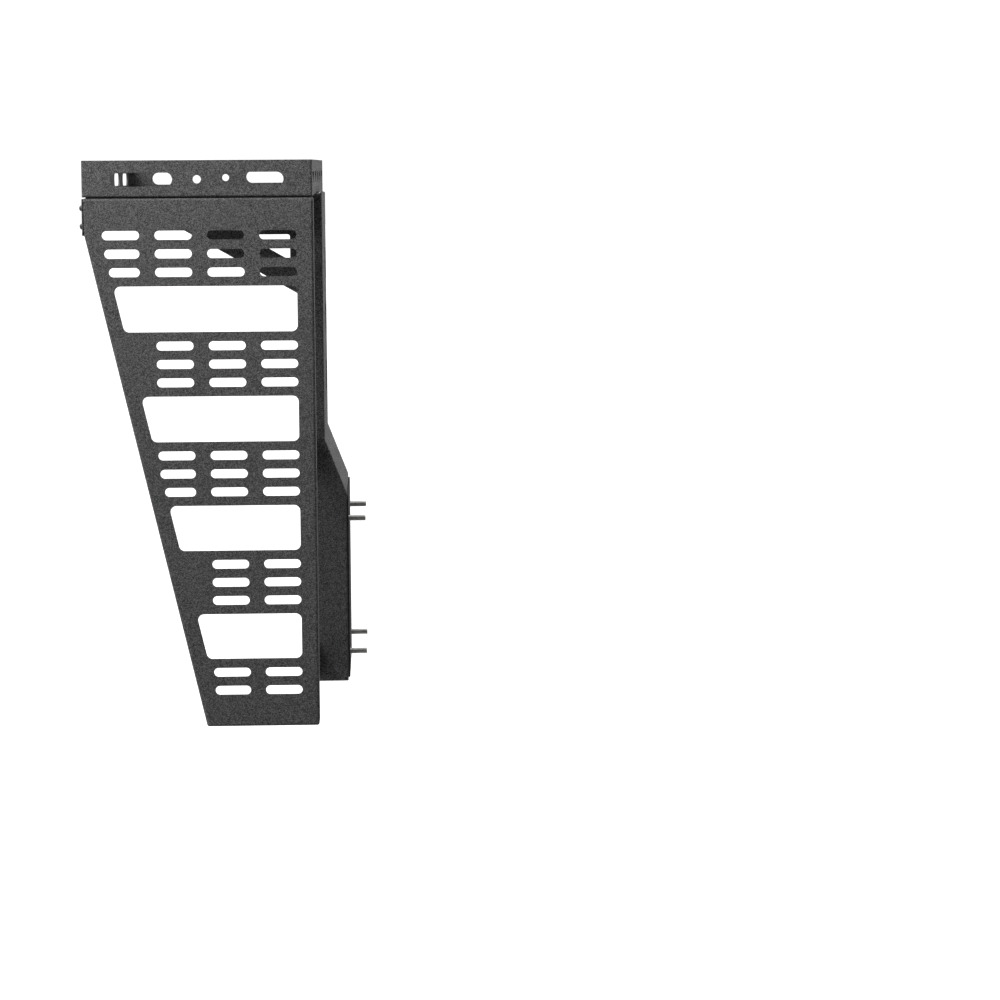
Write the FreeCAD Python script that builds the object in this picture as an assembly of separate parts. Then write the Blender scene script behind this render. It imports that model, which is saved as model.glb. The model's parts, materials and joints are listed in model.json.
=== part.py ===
import FreeCAD, Part
import math
import os

os.makedirs("parts", exist_ok=True)

# Tailgate rack that carries a spare wheel, all sizes in millimetres.
# +X points at the vehicle's tailgate, +Y to the far side and +Z up.  The
# origin is the middle of the tailgate bolt pattern, on the mounting face.

# ---- Driving dimensions ------------------------------------------------
SHEET = 3.0
WIDTH = 930.0
HALF_WIDTH = WIDTH / 2
FRONT = -50.0
REAR = -427.3
FOOT = -188.0
TRAY_BASE = 695.0
TRAY_HEIGHT = 60.0
TRAY_TOP = TRAY_BASE + TRAY_HEIGHT
FOLD_RADIUS = 2.8

# side panel
PANEL_SEAL = 1.6
PANEL_TOP = TRAY_BASE - PANEL_SEAL
PANEL_FRONT = -48.8
PANEL_KNEE = 639.5
PANEL_FOOT_REAR = -236.4
PANEL_REAR = -426.3
PANEL_CORNER = 4.0
PANEL_FOLD = 4.5
FRONT_FLANGE = 50.0
EDGE_FLANGE = 22.0
PANEL_SLOT_LENGTH = 61.1
PANEL_SLOT_HEIGHT = 15.0
COLUMN_PITCH = 86.0
FIRST_COLUMN = -107.2
COLUMNS = 4
ROW_PITCH = 30.4
GROUP_PITCH = 182.1
TOP_GROUP = 602.0
GROUPS = 5
SLOT_EDGE_MARGIN = 25.3
SHORTEST_SLOT = 48.0
WINDOW_HEIGHT = 75.6
WINDOW_FRONT = -76.6
WINDOW_EDGE_MARGIN = 25.8
EDGE_DRIFT = 0.0048
WINDOW_CORNER = 10.0

# tray
RAIL_SLOT_LENGTH = 101.4
RAIL_SLOT_HEIGHT = 22.9
RAIL_SLOT_LEVEL = TRAY_BASE + 28.7
RAIL_SLOT_OFFSET = 91.2
INNER_SLOT_LENGTH = 90.0
RAIL_HOLE_RADIUS = 6.8
END_SLOT_PITCH = 183.0
END_SLOTS = 5
REAR_SLOT_LENGTH = 116.0
REAR_SLOT_Y = (-355.0, -177.5, 177.5, 355.0)
TRAY_SAG = 3.8
SAG_START = -147.0
TRAY_FLANGE = 25.0
FLOOR_SHEET = 2.0
FLOOR_ROW_PITCH = 58.0
FLOOR_ROWS = 5

# mast
MAST_HALF = 165.0
MAST_FACE = -40.0
MAST_DEPTH = 33.0
MAST_LIP = 6.0
MAST_LIP_FAR = 0.8
BEND_TOP = 266.5
BEND_FOOT = 172.0
MAST_FOOT = -165.0
GASKET = 3.0
MAST_BACK = MAST_FACE - MAST_DEPTH
FACE_WINDOW_HEIGHT = 57.0
FACE_WINDOW_SIDES = (50.0, 125.0)
FACE_WINDOW_CENTRES = (362.0, 465.0, 568.0)
RIB_LEVELS = (190.0, 412.0, 520.0)
TOP_BOLT_X = -62.0
TOP_BOLT_Y = (-125.0, -70.0, 70.0, 125.0)

# tailgate bolts
BOLT_SPAN_Y = 220.0
BOLT_SPAN_Z = 240.0
BACKING = 6.0
ACCESS_RADIUS = 16.0
STUD_REACH = 30.0

# gusset arm
GUSSET_HALF_GAP = 22.0
GUSSET_SLOPE = 0.566
GUSSET_ORIGIN = (-288.7, 630.4)
GUSSET_BAND = 50.0
GUSSET_HOLE_FRONT = -100.6
GUSSET_HOLE_TOP = 622.6
GUSSET_FLANGE = 26.0
SPINE_HALF = 52.0
GUSSET_SPACERS = ((-150.0, 654.0), (-300.0, 660.0), (-90.0, 555.0))

# cross plates
CROSS_SHEET = 1.5
CROSS_HEIGHT = TRAY_HEIGHT + 0.5
CROSS_TOP = TRAY_BASE - 2.5
CROSS_FOOT = CROSS_TOP - CROSS_HEIGHT
BOLT_PITCH = 30.0
BRACE_MIDDLES = (655.0, 238.0, -126.0)
CHEEK_TAB = 16.0
BRACE_SPACER = 4.0

# spare wheel plate
WHEEL_LEVEL = 56.0
WHEEL_PLATE_SIDE = 190.0
WHEEL_PLATE_THICK = 6.0
WHEEL_PCD = 114.3
WHEEL_HOLE_RADIUS = 6.5
WHEEL_BORE_RADIUS = 36.0
WHEEL_CLAMP_SPAN = 156.0
WHEEL_TRAVEL = 40.0
SLIDE_GAP = 0.3

X_AXIS = FreeCAD.Vector(1, 0, 0)
Y_AXIS = FreeCAD.Vector(0, 1, 0)
Z_AXIS = FreeCAD.Vector(0, 0, 1)


# ---- Shape helpers -----------------------------------------------------
def vec(x, y, z):
    return FreeCAD.Vector(x, y, z)


def box(x_range, y_range, z_range):
    size = [high - low for low, high in (x_range, y_range, z_range)]
    return Part.makeBox(*size, vec(x_range[0], y_range[0], z_range[0]))


def rod(radius, start, axis, length):
    return Part.makeCylinder(radius, length, vec(*start), axis)


def ring(outer, inner, start, axis, length):
    return rod(outer, start, axis, length).cut(rod(inner, start, axis, length))


def profile_prism(points, y_low, y_high):
    """Extrude an outline given as (x, z) points along Y."""
    corners = [vec(x, y_low, z) for x, z in points]
    face = Part.Face(Part.makePolygon(corners + corners[:1]))
    return face.extrude(vec(0, y_high - y_low, 0))


def round_edges(solid, radius, wanted):
    """Fillet the straight edges for which wanted(midpoint, direction) holds."""
    chosen = []
    for edge in solid.Edges:
        first, last = edge.Vertexes[0].Point, edge.Vertexes[-1].Point
        span = last - first
        if span.Length > 1e-6 and wanted((first + last) * 0.5, span.normalize()):
            chosen.append(edge)
    return solid.makeFillet(radius, chosen)


def obround(centre, along, across, through, length, width, depth):
    """Round-ended cutter: length along, width across, depth through."""
    centre = vec(*centre)
    half_run = along * ((length - width) / 2)
    base = centre - through * (depth / 2)
    corners = [base + half_run * a + across * (width / 2 * b)
               for a, b in ((-1, -1), (1, -1), (1, 1), (-1, 1))]
    block = Part.Face(Part.makePolygon(corners + corners[:1])).extrude(through * depth)
    ends = [Part.makeCylinder(width / 2, depth, base + half_run * side, through)
            for side in (-1, 1)]
    return block.fuse(ends)


def hexagon(across_flats, start, axis, length):
    """Hexagonal prism along the X, Y or Z axis."""
    radius = across_flats / math.sqrt(3)
    side = Y_AXIS if abs(axis.x) > 0.5 else X_AXIS
    other = axis.cross(side)
    turns = [math.radians(60 * step) for step in range(6)]
    corners = [vec(*start) + side * (radius * math.cos(turn)) + other * (radius * math.sin(turn))
               for turn in turns]
    return Part.Face(Part.makePolygon(corners + corners[:1])).extrude(axis * length)


def hex_nut(across_flats, bore, start, axis, length):
    """Nut with both faces chamfered off to a circle."""
    body = hexagon(across_flats, start, axis, length)
    drop = length * 0.22
    edge = across_flats / math.sqrt(3)
    face = across_flats / 2
    far = vec(*start) + axis * (length - drop)
    near = Part.makeCone(face, edge, drop, vec(*start), axis)
    middle = Part.makeCylinder(edge, length - 2 * drop, vec(*start) + axis * drop, axis)
    end = Part.makeCone(edge, face, drop, far, axis)
    body = body.common(near.fuse([middle, end]))
    return body.cut(rod(bore, start, axis, length))


def button_bolt(radius, head_radius, head_height, start, axis, length):
    """Shank along axis from start, with a domed socket head behind start."""
    shank = rod(radius, start, axis, length)
    ball_radius = (head_radius ** 2 + head_height ** 2) / (2 * head_height)
    ball_centre = vec(*start) + axis * (ball_radius - head_height)
    dome = Part.makeSphere(ball_radius, ball_centre)
    dome = dome.common(Part.makeCylinder(head_radius, head_height, vec(*start) - axis * head_height, axis))
    socket_start = vec(*start) - axis * (head_height + 0.5)
    socket = hexagon(head_radius * 0.62, socket_start, axis, head_height * 0.75)
    return dome.cut(socket).fuse(shank)


def flush_screw(radius, head_radius, head_height, start, axis, length):
    """Solid of a countersunk screw whose flat head ends at start."""
    head = Part.makeCone(head_radius, radius, head_height, vec(*start), axis)
    return head.fuse(rod(radius, start, axis, length))


def hex_bolt(radius, across_flats, head_height, start, axis, length):
    """Shank along axis from start, with a chamfered hexagon head behind start."""
    head_start = vec(*start) - axis * head_height
    head = hexagon(across_flats, head_start, axis, head_height)
    drop = head_height * 0.25
    edge = across_flats / math.sqrt(3)
    crown = Part.makeCone(across_flats / 2, edge, drop, head_start, axis)
    collar = Part.makeCylinder(edge, head_height - drop, head_start + axis * drop, axis)
    return head.common(crown.fuse(collar)).fuse(rod(radius, start, axis, length))


def save(name, *solids):
    shape = solids[0] if len(solids) == 1 else Part.makeCompound(list(solids))
    shape = shape.removeSplitter()
    if not shape.isValid():
        raise ValueError(name + " is not a valid shape")
    shape.exportStep("parts/" + name + ".step")


# ---- Places that several pieces share ----------------------------------
def panel_edge(z):
    """X of the side panel's slanted rear edge at height z."""
    slope = (PANEL_FOOT_REAR - PANEL_REAR) / (PANEL_KNEE - FOOT)
    return PANEL_REAR + max(PANEL_KNEE - z, 0.0) * slope


def cut_edge(z, margin):
    """X of the rear end of a cut that keeps this margin from the slanted edge."""
    return panel_edge(z) + margin + EDGE_DRIFT * (TOP_GROUP - z)


def group_levels():
    return [TOP_GROUP - GROUP_PITCH * index for index in range(GROUPS)]


def mast_profile(inset, y_low, y_high):
    """Solid that fills the mast's side profile, inset from its front face."""
    face = MAST_FACE - inset
    mount = -GASKET - inset
    return profile_prism([(MAST_BACK, TRAY_BASE), (face, TRAY_BASE), (face, BEND_TOP),
                          (mount, BEND_FOOT), (mount, MAST_FOOT), (MAST_BACK, MAST_FOOT)],
                         y_low, y_high)


def tailgate_bolt_places():
    return [(y, z) for y in (-BOLT_SPAN_Y / 2, BOLT_SPAN_Y / 2)
            for z in (-BOLT_SPAN_Z / 2, BOLT_SPAN_Z / 2)]


def wheel_clamp_places():
    half = WHEEL_CLAMP_SPAN / 2
    return [(y, WHEEL_LEVEL + z) for y in (-half, half) for z in (-half, half)]


def gusset_tray_places():
    return [(x, side * GUSSET_BOLT_Y) for x in GUSSET_TRAY_X for side in (-1, 1)]


def tray_screw_places():
    over_panel = [(x, PANEL_TOP_Y) for x in PANEL_TOP_X]
    return over_panel + [(TOP_BOLT_X, y) for y in TOP_BOLT_Y]


def cross_bolt_levels(middle):
    return (middle - BOLT_PITCH / 2, middle + BOLT_PITCH / 2)


CROSS_MIDDLE = (CROSS_TOP + CROSS_FOOT) / 2
CROSS_REAR = PANEL_REAR - CROSS_SHEET
PANEL_OUT = -HALF_WIDTH
PANEL_IN = -HALF_WIDTH + SHEET
FLANGE_BOLT_Y = PANEL_OUT + 15.0
BRACE_X = (PANEL_FRONT - 2 * SHEET - BRACE_SPACER, PANEL_FRONT - SHEET - BRACE_SPACER)
BRACE_BOLT_Y = PANEL_OUT + 28.0
TAB_BOLT_X = FRONT - 15.0
GUSSET_FRONT = MAST_BACK - SHEET
GUSSET_BOLT_Y = GUSSET_HALF_GAP + SHEET + 13.0
GUSSET_MAST_LEVELS = (545.0, 665.0)
GUSSET_TRAY_X = (-330.0, -200.0)
PANEL_TOP_X = (-354.0, -237.5, -121.0)
PANEL_TOP_Y = PANEL_OUT + 13.0


# ---- Side panel --------------------------------------------------------
def panel_slot_places():
    """Centre and length of every slot, shortened where the edge slants in."""
    places = []
    for group, level in enumerate(group_levels()):
        rows = (1, 0, -1) if group < GROUPS - 1 else (1, 0)
        for row in rows:
            z = level + row * ROW_PITCH
            for column in range(COLUMNS):
                middle = FIRST_COLUMN - column * COLUMN_PITCH
                front = middle + PANEL_SLOT_LENGTH / 2
                rear = max(middle - PANEL_SLOT_LENGTH / 2, cut_edge(z, SLOT_EDGE_MARGIN))
                if front - rear >= SHORTEST_SLOT:
                    places.append(((front + rear) / 2, z, front - rear))
    return places


def panel_window(level):
    top, foot = level + WINDOW_HEIGHT / 2, level - WINDOW_HEIGHT / 2
    points = [(cut_edge(foot, WINDOW_EDGE_MARGIN), foot), (WINDOW_FRONT, foot),
              (WINDOW_FRONT, top), (cut_edge(top, WINDOW_EDGE_MARGIN), top)]
    cutter = profile_prism(points, PANEL_OUT - 1, PANEL_IN + 1)
    return round_edges(cutter, WINDOW_CORNER, lambda middle, way: abs(way.y) > 0.9)


def side_panel():
    outline = [(PANEL_FRONT, FOOT), (PANEL_FRONT, PANEL_TOP), (PANEL_REAR, PANEL_TOP),
               (PANEL_REAR, PANEL_KNEE), (PANEL_FOOT_REAR, FOOT)]
    slab = profile_prism(outline, PANEL_OUT, PANEL_OUT + FRONT_FLANGE)
    slab = round_edges(slab, PANEL_CORNER, lambda middle, way: abs(way.y) > 0.9)
    slope = (PANEL_FOOT_REAR - PANEL_REAR) / (PANEL_KNEE - FOOT)
    wall = SHEET * math.hypot(1.0, slope)
    inner = [(PANEL_FRONT - SHEET, FOOT + SHEET), (PANEL_FRONT - SHEET, PANEL_TOP - SHEET),
             (PANEL_REAR + SHEET, PANEL_TOP - SHEET), (PANEL_REAR + SHEET, PANEL_KNEE),
             (panel_edge(FOOT + SHEET) + wall, FOOT + SHEET)]
    hollow = profile_prism(inner, PANEL_IN, PANEL_OUT + FRONT_FLANGE)
    panel = slab.cut(hollow)
    # only the front and the top of the rear edge keep deep flanges
    shallow = PANEL_OUT + EDGE_FLANGE
    deep = PANEL_OUT + FRONT_FLANGE + 1
    panel = panel.cut(box((REAR - 1, PANEL_FRONT - 8), (shallow, deep), (FOOT - 1, PANEL_TOP + 1)))
    panel = round_edges(panel, PANEL_FOLD, lambda middle, way: middle.y < PANEL_OUT + 0.1)
    cutters = [panel_window(level - GROUP_PITCH / 2) for level in group_levels()[:-1]]
    for x, z, length in panel_slot_places():
        cutters.append(obround((x, PANEL_OUT, z), X_AXIS, Z_AXIS, Y_AXIS,
                               length, PANEL_SLOT_HEIGHT, 4 * SHEET))
    for z in cross_bolt_levels(CROSS_MIDDLE):
        cutters.append(rod(3.3, (PANEL_REAR - 1, FLANGE_BOLT_Y, z), X_AXIS, SHEET + 2))
    for middle in BRACE_MIDDLES:
        for z in cross_bolt_levels(middle):
            seat = (PANEL_FRONT, BRACE_BOLT_Y, z)
            cutters.append(flush_screw(3.3, 6.3, 2.9, seat, vec(-1, 0, 0), SHEET + 1))
    for x in PANEL_TOP_X:
        cutters.append(rod(3.3, (x, PANEL_TOP_Y, PANEL_TOP - SHEET - 1), Z_AXIS, SHEET + 2))
    save("side_panel", panel.cut(cutters))


# ---- Tray --------------------------------------------------------------
def row_level(x, y):
    """Level of the tray's slots, which sinks towards the far rear corner."""
    back = max(SAG_START - x, 0.0) / (SAG_START - REAR)
    return RAIL_SLOT_LEVEL - TRAY_SAG * back * (y + HALF_WIDTH) / WIDTH


def even_places(z):
    first = -END_SLOT_PITCH * (END_SLOTS - 1) / 2
    return [(first + END_SLOT_PITCH * index, z) for index in range(END_SLOTS)]


def end_slot_cutters(x, places, length):
    return [obround((x, y, z), Y_AXIS, Z_AXIS, X_AXIS, length, RAIL_SLOT_HEIGHT, 4 * SHEET)
            for y, z in places]


def tray_rail(side):
    """Long side of the tray, an angle with its leg folded inwards."""
    outer = side * HALF_WIDTH
    inner = side * (HALF_WIDTH - SHEET)
    leg = side * (HALF_WIDTH - TRAY_FLANGE)
    wall = box((REAR, FRONT), sorted((outer, inner)), (TRAY_BASE, TRAY_TOP))
    foot = box((REAR + SHEET, FRONT - SHEET), sorted((leg, inner)), (TRAY_BASE, TRAY_BASE + SHEET))
    rail = round_edges(wall.fuse(foot).removeSplitter(), FOLD_RADIUS,
                       lambda middle, way: abs(middle.y - outer) < 0.1
                       and (middle.z < TRAY_BASE + 0.1 or abs(way.z) > 0.9))
    middle_x = (FRONT + REAR) / 2
    cutters = [obround((x, outer, row_level(x, outer)), X_AXIS, Z_AXIS, Y_AXIS,
                       RAIL_SLOT_LENGTH, RAIL_SLOT_HEIGHT, 4 * SHEET)
               for x in (middle_x - RAIL_SLOT_OFFSET, middle_x + RAIL_SLOT_OFFSET)]
    hole_start = (middle_x, outer - 2 * SHEET, row_level(middle_x, outer))
    cutters.append(rod(RAIL_HOLE_RADIUS, hole_start, Y_AXIS, 4 * SHEET))
    if side < 0:
        cutters += [rod(3.3, (x, PANEL_TOP_Y, TRAY_BASE - 1), Z_AXIS, SHEET + 2) for x in PANEL_TOP_X]
    return rail.cut(cutters)


def tray_end(outer, inward, slot_places, slot_length):
    """Front or rear plate of the tray, between the rails."""
    inner = outer + inward * SHEET
    leg = outer + inward * TRAY_FLANGE
    reach = HALF_WIDTH - SHEET
    foot_reach = HALF_WIDTH - TRAY_FLANGE
    wall = box(sorted((outer, inner)), (-reach, reach), (TRAY_BASE, TRAY_TOP))
    foot = box(sorted((leg, inner)), (-foot_reach, foot_reach), (TRAY_BASE, TRAY_BASE + SHEET))
    plate = round_edges(wall.fuse(foot).removeSplitter(), FOLD_RADIUS,
                        lambda middle, way: abs(middle.x - outer) < 0.1
                        and abs(middle.z - TRAY_BASE) < 0.1)
    cutters = end_slot_cutters(outer, slot_places, slot_length)
    if outer == FRONT:
        cutters += [rod(3.3, (TOP_BOLT_X, y, TRAY_BASE - 1), Z_AXIS, SHEET + 2) for y in TOP_BOLT_Y]
    return plate.cut(cutters)


def tray():
    save("tray_near_rail", tray_rail(-1))
    save("tray_far_rail", tray_rail(1))
    save("tray_front_plate", tray_end(FRONT, -1, even_places(RAIL_SLOT_LEVEL), RAIL_SLOT_LENGTH))
    rear_places = [(y, row_level(REAR, y)) for y in REAR_SLOT_Y]
    save("tray_rear_plate", tray_end(REAR, 1, rear_places, REAR_SLOT_LENGTH))
    tray_floor()
    tray_fasteners()


def tray_floor():
    level = TRAY_BASE + SHEET
    inset = SHEET + 0.5
    sheet = box((REAR + inset, FRONT - inset), (-HALF_WIDTH + inset, HALF_WIDTH - inset),
                (level, level + FLOOR_SHEET))
    middle_x = (FRONT + REAR) / 2
    first_x = middle_x - FLOOR_ROW_PITCH * (FLOOR_ROWS - 1) / 2
    cutters = []
    for row in range(FLOOR_ROWS):
        for cutter in end_slot_cutters(0.0, even_places(0.0), INNER_SLOT_LENGTH):
            cutter.rotate(vec(0, 0, 0), Y_AXIS, 90)
            cutter.translate(vec(first_x + FLOOR_ROW_PITCH * row, 0, level))
            cutters.append(cutter)
    for x, y in gusset_tray_places():
        cutters.append(rod(4.3, (x, y, level - 1), Z_AXIS, FLOOR_SHEET + 2))
    for x, y in tray_screw_places():
        cutters.append(rod(3.3, (x, y, level - 1), Z_AXIS, FLOOR_SHEET + 2))
    save("tray_floor", sheet.cut(cutters))


def tray_fasteners():
    """Screws down through the floor: three to the side panel, four to the mast."""
    top = TRAY_BASE + SHEET + FLOOR_SHEET
    down = vec(0, 0, -1)
    screws = []
    nuts = []
    for x, y in tray_screw_places():
        under = PANEL_TOP if x in PANEL_TOP_X else TRAY_BASE
        screws.append(button_bolt(3.0, 5.2, 3.3, (x, y, top), down, 20.0))
        nuts.append(hex_nut(10.0, 3.0, (x, y, under - SHEET), down, 5.0))
    save("tray_screws", *screws)
    save("tray_nuts", *nuts)
    seal = box((REAR + 6, FRONT - 4), (PANEL_OUT + 4, PANEL_OUT + EDGE_FLANGE - 1), (PANEL_TOP, TRAY_BASE))
    holes = [rod(3.3, (x, PANEL_TOP_Y, PANEL_TOP - 1), Z_AXIS, PANEL_SEAL + 2) for x in PANEL_TOP_X]
    save("panel_top_seal", seal.cut(holes))


# ---- Mast --------------------------------------------------------------
def mast_channel():
    """One folded sheet: face, flare, mounting face and both cheeks."""
    outer = mast_profile(0.0, -MAST_HALF, MAST_HALF)
    inner = mast_profile(SHEET, -MAST_HALF + SHEET, MAST_HALF - SHEET)
    reach = box((MAST_BACK - 1, MAST_BACK + 1), (-MAST_HALF + SHEET, MAST_HALF - SHEET),
                (MAST_FOOT - 1, TRAY_BASE + 1))
    # the lip is tall at the near side and is cut back to the face's own sheet there
    lip_corners = [vec(FRONT, y, z) for y, z in
                   ((-MAST_HALF, TRAY_BASE - 10), (MAST_HALF, TRAY_BASE - 10),
                    (MAST_HALF, TRAY_BASE + MAST_LIP_FAR), (-MAST_HALF, TRAY_BASE + MAST_LIP))]
    lip = Part.Face(Part.makePolygon(lip_corners + lip_corners[:1])).extrude(X_AXIS * (MAST_FACE - FRONT))
    lip = lip.cut(profile_prism([(FRONT - 1, TRAY_BASE), (MAST_FACE - SHEET, TRAY_BASE),
                                 (MAST_FACE - 1, TRAY_BASE + MAST_LIP + 1),
                                 (FRONT - 1, TRAY_BASE + MAST_LIP + 1)], -MAST_HALF - 1, MAST_HALF - SHEET))
    above = box((MAST_BACK - 1, MAST_FACE - SHEET), (-MAST_HALF + SHEET, MAST_HALF - SHEET),
                (TRAY_BASE - 20, TRAY_BASE + MAST_LIP + 1))
    channel = outer.fuse(lip).cut([inner, reach, above]).removeSplitter()
    channel = round_edges(channel, FOLD_RADIUS,
                          lambda middle, way: abs(abs(middle.y) - MAST_HALF) < 0.1
                          and abs(way.y) < 0.1 and middle.x > MAST_FACE - 0.1
                          and abs(way.z) > 0.5)
    cutters = []
    for level in FACE_WINDOW_CENTRES:
        window = box((MAST_FACE - SHEET - 1, MAST_FACE + 1), FACE_WINDOW_SIDES,
                     (level - FACE_WINDOW_HEIGHT / 2, level + FACE_WINDOW_HEIGHT / 2))
        cutters.append(round_edges(window, 8.0, lambda middle, way: abs(way.x) > 0.9))
    for y, z in tailgate_bolt_places():
        cutters.append(rod(5.2, (-GASKET - SHEET - 1, y, z), X_AXIS, SHEET + 2))
    for middle in BRACE_MIDDLES:
        for z in cross_bolt_levels(middle):
            cutters.append(rod(3.3, (TAB_BOLT_X, -MAST_HALF - 1, z), Y_AXIS, SHEET + 2))
    save("mast_channel", channel.cut(cutters))


def mast_back_plate():
    """Closes the channel behind; slotted for the wheel plate's clamps."""
    plate = box((MAST_BACK - SHEET, MAST_BACK), (-MAST_HALF, MAST_HALF), (MAST_FOOT, TRAY_BASE))
    plate = round_edges(plate, PANEL_CORNER, lambda middle, way: abs(way.x) > 0.9)
    cutters = []
    for y, z in tailgate_bolt_places():
        cutters.append(rod(ACCESS_RADIUS, (MAST_BACK - SHEET - 1, y, z), X_AXIS, SHEET + 2))
    for y, z in wheel_clamp_places():
        cutters.append(obround((MAST_BACK, y, z), Z_AXIS, Y_AXIS, X_AXIS,
                               2 * WHEEL_TRAVEL + 12.0, 10.6, 4 * SHEET))
    for z in GUSSET_MAST_LEVELS:
        for side in (-1, 1):
            cutters.append(rod(4.3, (MAST_BACK - SHEET - 1, side * GUSSET_BOLT_Y, z), X_AXIS, SHEET + 2))
    save("mast_back_plate", plate.cut(cutters))


def mast_inside():
    cap_level = TRAY_BASE - SHEET
    inside = MAST_HALF - SHEET
    cap = box((MAST_BACK, MAST_FACE - SHEET), (-inside, inside), (cap_level, TRAY_BASE))
    holes = [rod(3.3, (TOP_BOLT_X, y, cap_level - 1), Z_AXIS, SHEET + 2) for y in TOP_BOLT_Y]
    save("mast_top_cap", cap.cut(holes))
    foot = box((MAST_BACK, -GASKET - SHEET), (-inside, inside), (MAST_FOOT, MAST_FOOT + SHEET))
    save("mast_foot_cap", foot)
    ribs = []
    for level in RIB_LEVELS:
        slab = box((MAST_BACK, 0), (-inside, inside), (level, level + SHEET))
        slab = slab.common(mast_profile(SHEET, -inside, inside))
        for side in (-1, 1):
            slab = slab.cut(rod(6.0, (MAST_BACK + 13, side * 60.0, level - 1), Z_AXIS, SHEET + 2))
        ribs.append(slab)
    for index, rib in enumerate(ribs):
        save("mast_rib_" + str(index + 1), rib)


# ---- Tailgate mounting -------------------------------------------------
def tailgate_mount():
    half_y = BOLT_SPAN_Y / 2 + 25
    half_z = BOLT_SPAN_Z / 2 + 22
    inner = -GASKET - SHEET
    backing = box((inner - BACKING, inner), (-half_y, half_y), (-half_z, half_z))
    backing = round_edges(backing, 8.0, lambda middle, way: abs(way.x) > 0.9)
    gasket = box((-GASKET, 0), (-MAST_HALF + 6, MAST_HALF - 6), (MAST_FOOT + 4, BEND_FOOT - 6))
    gasket = round_edges(gasket, 10.0, lambda middle, way: abs(way.x) > 0.9)
    washers = []
    bolts = []
    for y, z in tailgate_bolt_places():
        hole = rod(5.2, (inner - BACKING - 1, y, z), X_AXIS, BACKING + SHEET + GASKET + 2)
        backing = backing.cut(hole)
        gasket = gasket.cut(hole)
        seat = inner - BACKING
        washers.append(ring(10.5, 5.2, (seat - 2, y, z), X_AXIS, 2))
        bolt = hex_bolt(4.6, 17.0, 6.4, (seat - 2, y, z), X_AXIS, 2 - seat)
        bolts.append(bolt.fuse(rod(5.0, (0, y, z), X_AXIS, STUD_REACH)))
    save("mount_backing_plate", backing)
    save("tailgate_gasket", gasket)
    save("tailgate_washers", *washers)
    save("tailgate_bolts", *bolts)


# ---- Gusset arm --------------------------------------------------------
def gusset_line(x, drop=0.0):
    """Height of the arm's slanted edge at x, raised by the band's width."""
    return GUSSET_ORIGIN[1] - GUSSET_SLOPE * (x - GUSSET_ORIGIN[0]) + drop


def gusset_plate(side):
    top = TRAY_BASE
    rear = GUSSET_ORIGIN[0] - (top - 14.0 - GUSSET_ORIGIN[1]) / GUSSET_SLOPE
    outline = [(GUSSET_FRONT, gusset_line(GUSSET_FRONT)), (GUSSET_FRONT, top), (rear, top),
               (rear, top - 14.0)]
    inner = side * GUSSET_HALF_GAP
    outer = side * (GUSSET_HALF_GAP + SHEET)
    web = profile_prism(outline, *sorted((inner, outer)))
    web = round_edges(web, 6.0, lambda middle, way: abs(way.y) > 0.9 and middle.x < rear + 1)
    hole_rear = GUSSET_ORIGIN[0] - (GUSSET_HOLE_TOP - GUSSET_BAND - GUSSET_ORIGIN[1]) / GUSSET_SLOPE
    hole = profile_prism([(GUSSET_HOLE_FRONT, GUSSET_HOLE_TOP), (hole_rear, GUSSET_HOLE_TOP),
                          (GUSSET_HOLE_FRONT, gusset_line(GUSSET_HOLE_FRONT, GUSSET_BAND))],
                         min(inner, outer) - 1, max(inner, outer) + 1)
    hole = round_edges(hole, 4.0, lambda middle, way: abs(way.y) > 0.9)
    leg = sorted((outer, side * (GUSSET_HALF_GAP + GUSSET_FLANGE)))
    upright = box((GUSSET_FRONT - SHEET, GUSSET_FRONT), leg, (gusset_line(GUSSET_FRONT) + 10, top))
    ledge = box((rear + 30, GUSSET_FRONT - SHEET), leg, (top - SHEET, top))
    cutters = [hole]
    for z in GUSSET_MAST_LEVELS:
        cutters.append(rod(4.3, (GUSSET_FRONT - SHEET - 1, side * GUSSET_BOLT_Y, z), X_AXIS, SHEET + 2))
    for x in GUSSET_TRAY_X:
        cutters.append(rod(4.3, (x, side * GUSSET_BOLT_Y, top - SHEET - 1), Z_AXIS, SHEET + 2))
    return web.fuse([upright, ledge]).cut(cutters)


def gusset_arm():
    save("gusset_near", gusset_plate(-1))
    save("gusset_far", gusset_plate(1))
    spacers = []
    for x, level in GUSSET_SPACERS:
        spacers.append(ring(7.0, 4.3, (x, -GUSSET_HALF_GAP, level), Y_AXIS, 2 * GUSSET_HALF_GAP))
    save("gusset_spacers", *spacers)
    spine = box((REAR + TRAY_FLANGE, FRONT - TRAY_FLANGE), (-SPINE_HALF, SPINE_HALF),
                (TRAY_BASE, TRAY_BASE + SHEET))
    holes = [rod(4.3, (x, y, TRAY_BASE - 1), Z_AXIS, SHEET + 2) for x, y in gusset_tray_places()]
    save("tray_spine", spine.cut(holes))
    bolts = []
    nuts = []
    for z in GUSSET_MAST_LEVELS:
        for side in (-1, 1):
            seat = (GUSSET_FRONT - SHEET, side * GUSSET_BOLT_Y, z)
            bolts.append(hex_bolt(4.0, 13.0, 5.3, seat, X_AXIS, 20.0))
            nuts.append(hex_nut(13.0, 4.0, (MAST_BACK, side * GUSSET_BOLT_Y, z), X_AXIS, 6.5))
    save("gusset_mast_bolts", *bolts)
    save("gusset_mast_nuts", *nuts)
    bolts = []
    nuts = []
    top = TRAY_BASE + SHEET + FLOOR_SHEET
    down = vec(0, 0, -1)
    for x, y in gusset_tray_places():
        bolts.append(button_bolt(4.0, 7.0, 4.4, (x, y, top), down, 22.0))
        nuts.append(hex_nut(13.0, 4.0, (x, y, TRAY_BASE - SHEET), down, 6.5))
    save("gusset_tray_bolts", *bolts)
    save("gusset_tray_nuts", *nuts)


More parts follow.
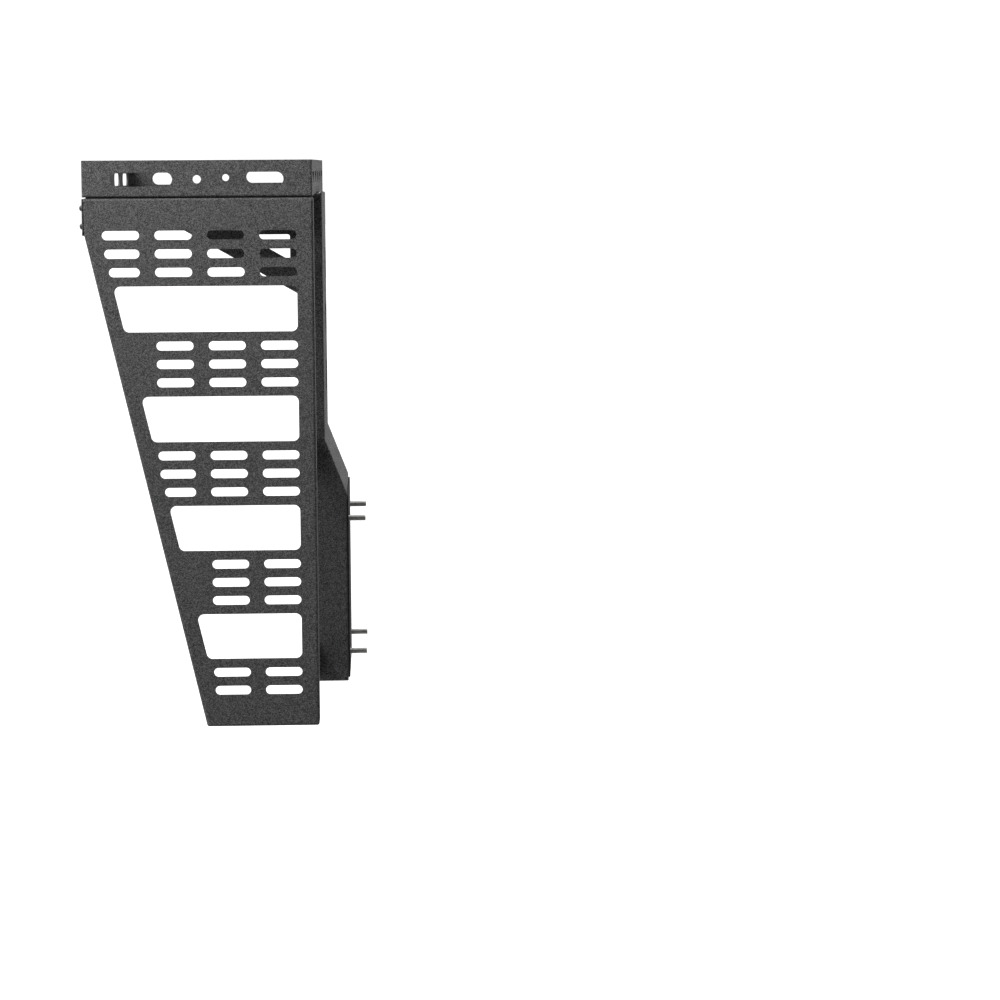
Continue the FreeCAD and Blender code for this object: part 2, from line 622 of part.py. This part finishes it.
# ---- Cross plates and braces -------------------------------------------
def rear_cross():
    plate = box((CROSS_REAR, PANEL_REAR), (PANEL_OUT, HALF_WIDTH), (CROSS_FOOT, CROSS_TOP))
    plate = round_edges(plate, PANEL_CORNER, lambda middle, way: abs(way.x) > 0.9)
    cutters = end_slot_cutters(CROSS_REAR, even_places(CROSS_MIDDLE), INNER_SLOT_LENGTH)
    bolts = []
    nuts = []
    for y in (FLANGE_BOLT_Y, -FLANGE_BOLT_Y):
        for z in cross_bolt_levels(CROSS_MIDDLE):
            cutters.append(rod(3.3, (CROSS_REAR - 1, y, z), X_AXIS, SHEET + 2))
            bolts.append(button_bolt(3.0, 5.2, 5.4, (CROSS_REAR, y, z), X_AXIS, 16.0))
            nuts.append(hex_nut(10.0, 3.0, (PANEL_REAR + SHEET, y, z), X_AXIS, 5.0))
    save("rear_cross_plate", plate.cut(cutters))
    save("rear_cross_bolts", *bolts)
    save("rear_cross_nuts", *nuts)


def far_hanger():
    """Angle under the far rail that the rear cross plate bolts to."""
    outer = HALF_WIDTH
    inner = HALF_WIDTH - SHEET
    back = (PANEL_REAR, PANEL_REAR + SHEET)
    leg = box(back, (HALF_WIDTH - 30, outer), (CROSS_FOOT, TRAY_BASE))
    web = box((back[0], REAR + 70), (inner, outer), (CROSS_FOOT, TRAY_BASE))
    slanted = profile_prism([(REAR + 20, CROSS_FOOT - 1), (REAR + 71, CROSS_FOOT - 1),
                             (REAR + 71, TRAY_BASE - 12)], inner - 1, outer + 1)
    hanger = leg.fuse(web).cut(slanted)
    holes = [rod(3.3, (back[0] - 1, -FLANGE_BOLT_Y, z), X_AXIS, SHEET + 2)
             for z in cross_bolt_levels(CROSS_MIDDLE)]
    save("far_hanger", hanger.cut(holes))


def brace(middle, name):
    """Plate from the side panel's front flange to the mast's near cheek."""
    half = CROSS_HEIGHT / 2
    plate = box(BRACE_X, (PANEL_IN + 8, -MAST_HALF), (middle - half, middle + half))
    tab = box((BRACE_X[1] - CHEEK_TAB, BRACE_X[1]), (-MAST_HALF - SHEET, -MAST_HALF),
              (middle - half, middle + half))
    piece = plate.fuse(tab).removeSplitter()
    cutters = [obround((BRACE_X[0], (PANEL_IN - MAST_HALF) / 2 + 10, middle), Y_AXIS, Z_AXIS, X_AXIS,
                       INNER_SLOT_LENGTH, RAIL_SLOT_HEIGHT, 4 * SHEET)]
    for z in cross_bolt_levels(middle):
        cutters.append(rod(3.3, (BRACE_X[0] - 1, BRACE_BOLT_Y, z), X_AXIS, SHEET + 2))
        cutters.append(rod(3.3, (TAB_BOLT_X, -MAST_HALF - SHEET - 1, z), Y_AXIS, SHEET + 2))
    save(name, piece.cut(cutters))


def braces():
    for middle, name in zip(BRACE_MIDDLES, ("upper_brace", "middle_brace", "lower_brace")):
        brace(middle, name)
    panel_bolts = []
    panel_nuts = []
    cheek_bolts = []
    cheek_nuts = []
    spacers = []
    back = vec(-1, 0, 0)
    for middle in BRACE_MIDDLES:
        for z in cross_bolt_levels(middle):
            seat = (PANEL_FRONT, BRACE_BOLT_Y, z)
            screw = flush_screw(3.0, 6.0, 2.9, seat, back, 20.0)
            spacers.append(ring(7.0, 3.3, (BRACE_X[1], BRACE_BOLT_Y, z), X_AXIS, BRACE_SPACER))
            panel_bolts.append(screw.cut(hexagon(4.0, seat, back, 1.6)))
            panel_nuts.append(hex_nut(10.0, 3.0, (BRACE_X[0], BRACE_BOLT_Y, z), back, 5.0))
            seat = (TAB_BOLT_X, -MAST_HALF - SHEET, z)
            cheek_bolts.append(button_bolt(3.0, 5.2, 3.3, seat, Y_AXIS, 14.0))
            cheek_nuts.append(hex_nut(10.0, 3.0, (TAB_BOLT_X, -MAST_HALF + SHEET, z), Y_AXIS, 5.0))
    save("brace_panel_bolts", *panel_bolts)
    save("brace_panel_nuts", *panel_nuts)
    save("brace_spacers", *spacers)
    save("brace_mast_bolts", *cheek_bolts)
    save("brace_mast_nuts", *cheek_nuts)


# ---- Spare wheel plate -------------------------------------------------
def wheel_mount():
    half = WHEEL_PLATE_SIDE / 2
    face = MAST_BACK - SHEET - SLIDE_GAP
    plate = box((face - WHEEL_PLATE_THICK, face), (-half, half),
                (WHEEL_LEVEL - half, WHEEL_LEVEL + half))
    plate = round_edges(plate, 14.0, lambda middle, way: abs(way.x) > 0.9)
    start = face - WHEEL_PLATE_THICK - 1
    cutters = [rod(WHEEL_BORE_RADIUS, (start, 0, WHEEL_LEVEL), X_AXIS, WHEEL_PLATE_THICK + 2)]
    for index in range(5):
        turn = math.radians(90 + 72 * index)
        y = WHEEL_PCD / 2 * math.cos(turn)
        z = WHEEL_LEVEL + WHEEL_PCD / 2 * math.sin(turn)
        cutters.append(rod(WHEEL_HOLE_RADIUS, (start, y, z), X_AXIS, WHEEL_PLATE_THICK + 2))
    bolts = []
    washers = []
    nuts = []
    inside = MAST_BACK + SLIDE_GAP
    for y, z in wheel_clamp_places():
        cutters.append(rod(5.2, (start, y, z), X_AXIS, WHEEL_PLATE_THICK + 2))
        bolts.append(button_bolt(5.0, 9.0, 4.6, (face - WHEEL_PLATE_THICK, y, z), X_AXIS, 24.0))
        washers.append(ring(11.0, 5.2, (inside, y, z), X_AXIS, 2.0))
        nuts.append(hex_nut(17.0, 5.0, (inside + 2.0, y, z), X_AXIS, 8.0))
    save("wheel_plate", plate.cut(cutters))
    save("wheel_plate_bolts", *bolts)
    save("wheel_plate_washers", *washers)
    save("wheel_plate_nuts", *nuts)


side_panel()
tray()
mast_channel()
mast_back_plate()
mast_inside()
tailgate_mount()
gusset_arm()
rear_cross()
far_hanger()
braces()
wheel_mount()
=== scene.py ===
import json
import math
import random

import bmesh
import bpy
from mathutils import Matrix, Vector

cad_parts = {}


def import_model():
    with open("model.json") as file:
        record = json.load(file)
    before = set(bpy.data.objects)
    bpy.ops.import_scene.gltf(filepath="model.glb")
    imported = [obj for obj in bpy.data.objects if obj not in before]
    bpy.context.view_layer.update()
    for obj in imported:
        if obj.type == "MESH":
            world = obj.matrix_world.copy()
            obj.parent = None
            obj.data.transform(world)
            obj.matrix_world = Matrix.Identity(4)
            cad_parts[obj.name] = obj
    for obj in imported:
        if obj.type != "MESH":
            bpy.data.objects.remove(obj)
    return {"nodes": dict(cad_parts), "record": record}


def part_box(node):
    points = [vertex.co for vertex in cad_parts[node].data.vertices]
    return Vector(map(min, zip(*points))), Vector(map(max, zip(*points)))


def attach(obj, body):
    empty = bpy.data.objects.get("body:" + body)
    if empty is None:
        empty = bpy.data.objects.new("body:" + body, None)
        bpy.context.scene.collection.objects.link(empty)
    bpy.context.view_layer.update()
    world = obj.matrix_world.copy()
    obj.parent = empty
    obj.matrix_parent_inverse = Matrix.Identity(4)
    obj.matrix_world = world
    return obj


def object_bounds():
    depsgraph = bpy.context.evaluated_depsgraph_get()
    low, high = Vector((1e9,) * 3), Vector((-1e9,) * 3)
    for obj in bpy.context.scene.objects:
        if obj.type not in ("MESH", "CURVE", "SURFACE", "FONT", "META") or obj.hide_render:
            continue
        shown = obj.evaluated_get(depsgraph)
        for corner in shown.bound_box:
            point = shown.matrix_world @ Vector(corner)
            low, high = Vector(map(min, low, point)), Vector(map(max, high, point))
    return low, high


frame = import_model()
cad_low, cad_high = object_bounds()


# ---- Node helpers ------------------------------------------------------
def new_material(name):
    material = bpy.data.materials.new(name)
    material.use_nodes = True
    tree = material.node_tree
    shader = tree.nodes["Principled BSDF"]
    return material, tree, shader


def noise(tree, coords, scale, detail=2.0, roughness=0.5):
    node = tree.nodes.new("ShaderNodeTexNoise")
    node.inputs["Scale"].default_value = scale
    node.inputs["Detail"].default_value = detail
    node.inputs["Roughness"].default_value = roughness
    tree.links.new(coords, node.inputs["Vector"])
    return node.outputs["Fac"]


def cells(tree, coords, scale):
    """Distance to the nearest cell centre, and a random tone for each cell."""
    node = tree.nodes.new("ShaderNodeTexVoronoi")
    node.inputs["Scale"].default_value = scale
    tree.links.new(coords, node.inputs["Vector"])
    tone = tree.nodes.new("ShaderNodeSeparateColor")
    tree.links.new(node.outputs["Color"], tone.inputs["Color"])
    return {"distance": node.outputs["Distance"], "tone": tone.outputs["Red"]}


def spread(tree, value, from_low, from_high, to_low, to_high):
    node = tree.nodes.new("ShaderNodeMapRange")
    node.inputs["From Min"].default_value = from_low
    node.inputs["From Max"].default_value = from_high
    node.inputs["To Min"].default_value = to_low
    node.inputs["To Max"].default_value = to_high
    tree.links.new(value, node.inputs["Value"])
    return node.outputs["Result"]


def math_node(tree, operation, first, second):
    node = tree.nodes.new("ShaderNodeMath")
    node.operation = operation
    for socket, value in zip(node.inputs, (first, second)):
        if isinstance(value, (int, float)):
            socket.default_value = value
        else:
            tree.links.new(value, socket)
    return node.outputs["Value"]


def ramp(tree, value, stops):
    node = tree.nodes.new("ShaderNodeValToRGB")
    elements = node.color_ramp.elements
    while len(elements) < len(stops):
        elements.new(0.5)
    for element, (place, colour) in zip(elements, stops):
        element.position = place
        element.color = (*colour, 1.0)
    tree.links.new(value, node.inputs["Fac"])
    return node.outputs["Color"]


def bump(tree, height, strength, distance):
    node = tree.nodes.new("ShaderNodeBump")
    node.inputs["Strength"].default_value = strength
    node.inputs["Distance"].default_value = distance
    tree.links.new(height, node.inputs["Height"])
    return node.outputs["Normal"]


def object_coords(tree):
    return tree.nodes.new("ShaderNodeTexCoord").outputs["Object"]


# ---- Materials ---------------------------------------------------------
PEBBLE_SCALE = 980.0
FINE_SCALE = 1800.0
PATCH_SCALE = 9.0
PEBBLE_SHARE = 0.65
# Painted shade and painted highlight: a pebble's colour runs from a dark painted pit shade to a bright
# painted glint, as fractions of the coat colour.
PAINTED_PIT_SHADE = 0.08
PAINTED_GLINT = 3.0
PATCH_SHADE = (0.95, 0.95, 0.95)
PEBBLE_RELIEF = 0.0006
SMOOTH_RELIEF = 0.0002
COATED = (0.0449, 0.0449, 0.0454)
FASTENER = (0.03, 0.03, 0.031)
ZINC_DULL = (0.42, 0.42, 0.41)
ZINC_BRIGHT = (0.62, 0.62, 0.6)
RUBBER_DARK = (0.01, 0.01, 0.01)
RUBBER_PALE = (0.034, 0.034, 0.034)


def powder_coat(name, base):
    """Fine-textured powder coat: tight bumpy pebbles, each given its own colour between a painted pit shade
    and a painted glint.
    """
    material, tree, shader = new_material(name)
    coords = object_coords(tree)
    pebbles = cells(tree, coords, PEBBLE_SCALE)
    fine = noise(tree, coords, FINE_SCALE, detail=1.0)
    patch = noise(tree, coords, PATCH_SCALE, detail=3.0)
    grain = math_node(tree, "ADD", math_node(tree, "MULTIPLY", pebbles["tone"], PEBBLE_SHARE),
                      math_node(tree, "MULTIPLY", fine, 1.0 - PEBBLE_SHARE))
    # Painted pit shade at the dark end and painted glint at the light end of each pebble's colour.
    painted_shade_colour = tuple(channel * PAINTED_PIT_SHADE for channel in base)
    light = tuple(channel * PAINTED_GLINT for channel in base)
    colour = ramp(tree, grain, [(0.3, painted_shade_colour), (0.5, base), (0.7, light)])
    shade = tree.nodes.new("ShaderNodeMixRGB")
    shade.blend_type = "MULTIPLY"
    shade.inputs["Fac"].default_value = 1.0
    tree.links.new(colour, shade.inputs["Color1"])
    tone = ramp(tree, patch, [(0.3, PATCH_SHADE), (0.7, (1.0, 1.0, 1.0))])
    tree.links.new(tone, shade.inputs["Color2"])
    tree.links.new(shade.outputs["Color"], shader.inputs["Base Color"])
    tree.links.new(spread(tree, grain, 0.2, 0.8, 0.62, 0.46), shader.inputs["Roughness"])
    relief = math_node(tree, "ADD", fine, math_node(tree, "MULTIPLY", pebbles["distance"], -1.2))
    tree.links.new(bump(tree, relief, 0.9, PEBBLE_RELIEF), shader.inputs["Normal"])
    return material


def coated_steel(name, base, roughness):
    """Smooth black-coated fastener with light handling wear."""
    material, tree, shader = new_material(name)
    coords = object_coords(tree)
    wear = noise(tree, coords, 260.0, 4.0, 0.6)
    worn = tuple(channel * 2.2 for channel in base)
    tree.links.new(ramp(tree, wear, [(0.45, base), (0.75, worn)]), shader.inputs["Base Color"])
    tree.links.new(spread(tree, wear, 0.3, 0.8, roughness, roughness + 0.2), shader.inputs["Roughness"])
    tree.links.new(bump(tree, wear, 0.2, SMOOTH_RELIEF), shader.inputs["Normal"])
    shader.inputs["Metallic"].default_value = 0.35
    return material


def zinc_steel(name):
    """Zinc-plated steel: pale, with cloudy passivation."""
    material, tree, shader = new_material(name)
    coords = object_coords(tree)
    cloud = noise(tree, coords, 140.0, 4.0, 0.6)
    tree.links.new(ramp(tree, cloud, [(0.35, ZINC_DULL), (0.65, ZINC_BRIGHT)]),
                   shader.inputs["Base Color"])
    tree.links.new(spread(tree, cloud, 0.3, 0.7, 0.28, 0.42), shader.inputs["Roughness"])
    tree.links.new(bump(tree, cloud, 0.15, SMOOTH_RELIEF), shader.inputs["Normal"])
    shader.inputs["Metallic"].default_value = 1.0
    return material


def gasket_rubber(name):
    """Matt black rubber sheet with a fine moulded tooth."""
    material, tree, shader = new_material(name)
    coords = object_coords(tree)
    tooth = noise(tree, coords, 260.0, 4.0, 0.6)
    tree.links.new(ramp(tree, tooth, [(0.4, RUBBER_DARK), (0.65, RUBBER_PALE)]),
                   shader.inputs["Base Color"])
    tree.links.new(spread(tree, tooth, 0.3, 0.7, 0.78, 0.92), shader.inputs["Roughness"])
    tree.links.new(bump(tree, tooth, 0.3, SMOOTH_RELIEF), shader.inputs["Normal"])
    return material


materials = {
    "black_powder_coat": powder_coat("textured_black_powder_coat", COATED),
    "black_fastener": coated_steel("black_coated_steel", FASTENER, 0.38),
    "zinc_steel": zinc_steel("zinc_plated_steel"),
    "rubber": gasket_rubber("gasket_rubber"),
}


def dress_cad_nodes():
    """Every CAD node shows the material of its slot in the record."""
    for part in frame["record"]["subparts"]:
        node = frame["nodes"][part["node"]]
        node.data.materials.clear()
        node.data.materials.append(materials[part["material_slot"]])


dress_cad_nodes()


# ---- Threads and weld beads, which CAD leaves plain --------------------
MM = 0.001
THREAD_PITCH = 1.5 * MM
THREAD_DEPTH = 0.3 * MM
THREAD_STEPS = 6
THREAD_SIDES = 24
THREAD_RADIUS = 5.02 * MM
THREAD_FROM = 1.5 * MM
THREAD_INSET = 0.2 * MM
BOLT_Y = 110.0 * MM
BOLT_Z = 120.0 * MM
BEAD_RADIUS = 2.2 * MM
BEAD_RIPPLE = 1.8 * MM
BEAD_STEPS = 4
BEAD_SIDES = 8
RIPPLE_DROP = 0.16
BEAD_TIP = 0.12
BEAD_SHAKE = 0.04
SHEET = 3.0 * MM
CORNER_BEAD = 38.0 * MM
CORNER_FOOT = 6.0 * MM
STITCH_BEAD = 26.0 * MM
STITCHES = 4
MAST_STITCHES = 6
HANGER_INSET = (6.0 * MM, 4.0 * MM)
shake = random.Random(11)


def skin(rings):
    """Points and faces of a closed tube through rings of equal size."""
    count = len(rings[0])
    points = [point for ring in rings for point in ring]
    faces = [tuple(range(count)), tuple(range(len(points) - count, len(points)))]
    for first in range(0, len(points) - count, count):
        for side in range(count):
            after = (side + 1) % count
            faces.append((first + side, first + after, first + count + after, first + count + side))
    return points, faces


def piece(name, tubes, slot):
    """One object made of closed tubes, riding on the frame."""
    shape = bmesh.new()
    for points, faces in tubes:
        corners = [shape.verts.new(point) for point in points]
        for face in faces:
            shape.faces.new([corners[index] for index in face])
    bmesh.ops.recalc_face_normals(shape, faces=shape.faces)
    for face in shape.faces:
        face.smooth = len(face.verts) == 4
    mesh = bpy.data.meshes.new(name)
    shape.to_mesh(mesh)
    shape.free()
    mesh.materials.append(materials[slot])
    obj = bpy.data.objects.new(name, mesh)
    bpy.context.scene.collection.objects.link(obj)
    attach(obj, "carrier_frame")


def thread(start, end, radius):
    """Helical thread along +X between two points, with a short lead-in at its end."""
    length = end.x - start.x
    steps = round(length / THREAD_PITCH * THREAD_STEPS)
    rings = []
    for step in range(steps + 1):
        x = length * step / steps
        taper = THREAD_DEPTH * max(0.0, 1.0 - (length - x) / THREAD_PITCH)
        ring = []
        for side in range(THREAD_SIDES):
            turn = side / THREAD_SIDES
            wave = abs(2.0 * ((x / THREAD_PITCH - turn) % 1.0) - 1.0)
            reach = radius + THREAD_DEPTH * wave - taper * wave
            angle = math.tau * turn
            ring.append((start.x + x, start.y + reach * math.cos(angle), start.z + reach * math.sin(angle)))
        rings.append(ring)
    return skin(rings)


def bead(start, end):
    """Rippled weld bead along a straight seam."""
    along = (end - start).normalized()
    across = along.orthogonal().normalized()
    over = along.cross(across)
    length = (end - start).length
    steps = round(length / BEAD_RIPPLE * BEAD_STEPS)
    rings = []
    for step in range(steps + 1):
        place = step / steps
        ripple = 1.0 - RIPPLE_DROP * (place * length / BEAD_RIPPLE % 1.0)
        ends = max(BEAD_TIP, 1.0 - abs(2.0 * place - 1.0) ** 8)
        reach = BEAD_RADIUS * ripple * ends * shake.uniform(1.0 - BEAD_SHAKE, 1.0 + BEAD_SHAKE)
        middle = start + along * place * length
        ring = []
        for side in range(BEAD_SIDES):
            angle = math.tau * side / BEAD_SIDES
            ring.append(middle + (across * math.cos(angle) + over * math.sin(angle)) * reach)
        rings.append(ring)
    return skin(rings)


def stitches(start, end, count):
    """Short beads spaced evenly along a seam."""
    beads = []
    for index in range(count):
        middle = start.lerp(end, (index + 0.5) / count)
        half = (end - start).normalized() * STITCH_BEAD / 2
        beads.append(bead(middle - half, middle + half))
    return beads


def bolt_threads():
    """Threads on the four bolts where they stand out of the gasket."""
    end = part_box("tailgate_bolts")[1].x - THREAD_INSET
    tubes = []
    for y in (-BOLT_Y, BOLT_Y):
        for z in (-BOLT_Z, BOLT_Z):
            tubes.append(thread(Vector((THREAD_FROM, y, z)), Vector((end, y, z)), THREAD_RADIUS))
    piece("tailgate_bolt_threads", tubes, "zinc_steel")


def tray_welds():
    """Beads down the tray's inside corners and stitched along its floor."""
    low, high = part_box("tray_near_rail")
    far_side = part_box("tray_far_rail")[1].y
    floor_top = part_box("tray_floor")[1].z
    sides = (low.y + SHEET, far_side - SHEET)
    tubes = []
    for x in (low.x + SHEET, high.x - SHEET):
        for y in sides:
            foot = Vector((x, y, floor_top + CORNER_FOOT))
            tubes.append(bead(foot, foot + Vector((0.0, 0.0, CORNER_BEAD))))
    for y in sides:
        tubes += stitches(Vector((low.x, y, floor_top)), Vector((high.x, y, floor_top)), STITCHES)
    piece("tray_weld_beads", tubes, "black_powder_coat")


def mast_welds():
    """Stitches that close the mast's back plate onto both cheeks."""
    low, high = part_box("mast_back_plate")
    tubes = []
    for y in (low.y, high.y):
        tubes += stitches(Vector((high.x, y, low.z)), Vector((high.x, y, high.z)), MAST_STITCHES)
    piece("mast_weld_beads", tubes, "black_powder_coat")


def hanger_weld():
    """Bead between the far hanger and the rail above it."""
    low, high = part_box("far_hanger")
    start = Vector((low.x + HANGER_INSET[0], high.y - SHEET, high.z))
    end = Vector((high.x - HANGER_INSET[1], start.y, start.z))
    piece("hanger_weld_bead", [bead(start, end)], "black_powder_coat")


bolt_threads()
tray_welds()
mast_welds()
hanger_weld()


# ---- Floor, light and camera -------------------------------------------
FLOOR_HALF = 60.0
FLOOR_DROP = 0.35
DIM_SIDE = (1.0, -0.75, -0.1)
WORLD_BRIGHT = 1.0
WORLD_DIM = 0.18
WORLD_STRENGTH = 1.1
FLOOR_GLOW = 0.45
OVERHEAD_POWER = 1.2
OVERHEAD_SPREAD = math.radians(70)
LIGHTS = (
    # name, place, target, size, power
    ("key", (-1.15, -1.1, 2.0), (-0.3, -0.46, 0.5), 0.7, 50.0),
    ("front", (0.45, 0.1, 1.15), (-0.05, 0.0, 0.72), 0.25, 0.75),
    ("rim", (2.4, 3.2, 1.5), (0.0, 0.0, 0.3), 2.0, 8.0),
)
CAMERA_PLACE = (0.0589, -5.374, 0.7452)
CAMERA_AHEAD = (0.03985, 0.99286, -0.11246)
CAMERA_RIGHT = (0.99914, -0.04083, -0.0059)
CAMERA_LENS = 106.8


def floor():
    """A broad pale floor, well below the part."""
    level = cad_low.z - FLOOR_DROP
    signs = ((-1, -1), (1, -1), (1, 1), (-1, 1))
    corners = [(x * FLOOR_HALF, y * FLOOR_HALF, level) for x, y in signs]
    mesh = bpy.data.meshes.new("floor")
    mesh.from_pydata(corners, [], [(0, 1, 2, 3)])
    obj = bpy.data.objects.new("floor", mesh)
    bpy.context.scene.collection.objects.link(obj)
    material, tree, shader = new_material("pale_floor")
    shader.inputs["Base Color"].default_value = (0.93, 0.93, 0.93, 1.0)
    shader.inputs["Roughness"].default_value = 0.95
    shader.inputs["Emission Color"].default_value = (1.0, 1.0, 1.0, 1.0)
    shader.inputs["Emission Strength"].default_value = FLOOR_GLOW
    mesh.materials.append(material)
    obj.visible_diffuse = False
    obj.visible_glossy = False


def area_light(name, place, target, size, power):
    data = bpy.data.lights.new(name, "AREA")
    data.shape = "SQUARE"
    data.size = size
    data.energy = power
    obj = bpy.data.objects.new(name, data)
    obj.location = place
    obj.rotation_euler = (Vector(target) - Vector(place)).to_track_quat("-Z", "Y").to_euler()
    obj.visible_camera = False
    bpy.context.scene.collection.objects.link(obj)


def overhead():
    """Broad soft light from straight above, for the floor."""
    data = bpy.data.lights.new("overhead", "SUN")
    data.energy = OVERHEAD_POWER
    data.angle = OVERHEAD_SPREAD
    bpy.context.scene.collection.objects.link(bpy.data.objects.new("overhead", data))


def world():
    """White studio that is dim towards the front right, where the vehicle would stand."""
    scene_world = bpy.data.worlds.new("studio")
    bpy.context.scene.world = scene_world
    scene_world.use_nodes = True
    tree = scene_world.node_tree
    background = tree.nodes["Background"]
    background.inputs["Strength"].default_value = WORLD_STRENGTH
    direction = tree.nodes.new("ShaderNodeTexCoord").outputs["Generated"]
    towards = tree.nodes.new("ShaderNodeVectorMath")
    towards.operation = "DOT_PRODUCT"
    towards.inputs[1].default_value = Vector(DIM_SIDE).normalized()
    tree.links.new(direction, towards.inputs[0])
    light = spread(tree, towards.outputs["Value"], -0.7, 0.45, WORLD_BRIGHT, WORLD_DIM)
    seen = tree.nodes.new("ShaderNodeLightPath").outputs["Is Camera Ray"]
    tree.links.new(math_node(tree, "MAXIMUM", light, seen), background.inputs["Color"])


def camera():
    """A long lens level with the tray, looking slightly down along +Y."""
    ahead = Vector(CAMERA_AHEAD).normalized()
    right = Vector(CAMERA_RIGHT)
    right = (right - ahead * right.dot(ahead)).normalized()
    up = right.cross(ahead)
    data = bpy.data.cameras.new("camera")
    data.sensor_width = 36.0
    data.lens = CAMERA_LENS
    data.clip_end = 100.0
    obj = bpy.data.objects.new("camera", data)
    axes = Matrix((right, up, -ahead)).transposed()
    obj.matrix_world = Matrix.Translation(CAMERA_PLACE) @ axes.to_4x4()
    bpy.context.scene.collection.objects.link(obj)
    bpy.context.scene.camera = obj


bpy.context.scene.view_settings.view_transform = "Standard"
floor()
world()
camera()
overhead()
for light in LIGHTS:
    area_light(*light)
